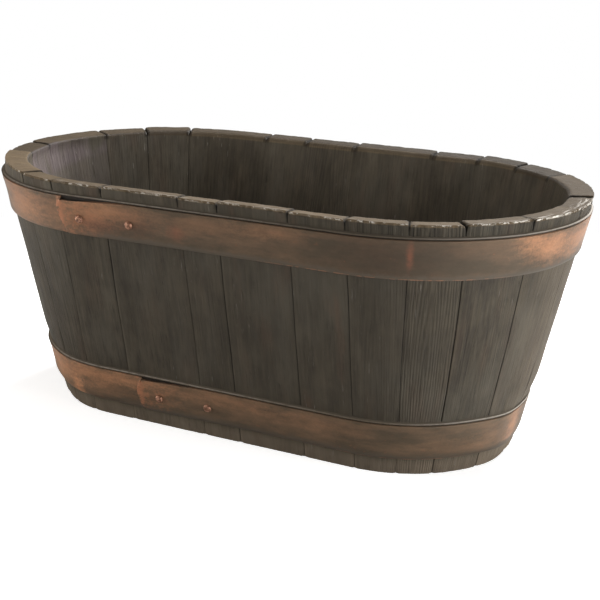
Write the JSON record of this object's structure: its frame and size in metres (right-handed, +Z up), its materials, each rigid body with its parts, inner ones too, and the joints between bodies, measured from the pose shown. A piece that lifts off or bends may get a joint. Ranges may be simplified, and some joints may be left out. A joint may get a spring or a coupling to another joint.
{
  "type": "plastic trough planter",
  "caption": "Oblong half-barrel trough planter: leaning wood-look staves, riveted copper-look hoops, open top and a recessed base with drain holes.",
  "frame": {"origin": "centre of the bounding box's bottom face, on the floor", "axes": "+X along the long side, +Y to the back, away from the hoop laps and rivets, +Z up"},
  "size_m": [0.6006, 0.3428, 0.245],
  "materials": {
    "stave": "wood-look plastic, grey-brown with fine upright grain, worn paler along the rim",
    "base": "plain dark brown plastic",
    "hoop": "brown plastic brushed with dull copper paint, dark patina and bare upper edge",
    "rivet": "copper-painted plastic, brighter on the dome"
  },
  "bodies": {
    "root": {"stave_01": "stave", "stave_02": "stave", "stave_03": "stave", "stave_04": "stave", "stave_05": "stave", "stave_06": "stave", "stave_07": "stave", "stave_08": "stave", "stave_09": "stave", "stave_10": "stave", "stave_11": "stave", "stave_12": "stave", "stave_13": "stave", "stave_14": "stave", "stave_15": "stave", "stave_16": "stave", "stave_17": "stave", "stave_18": "stave", "stave_19": "stave", "stave_20": "stave", "stave_21": "stave", "stave_22": "stave", "stave_23": "stave", "stave_24": "stave", "base_panel": "base", "upper_hoop": "hoop", "lower_hoop": "hoop", "upper_rivets": "rivet", "lower_rivets": "rivet"}
  },
  "joints": []
}
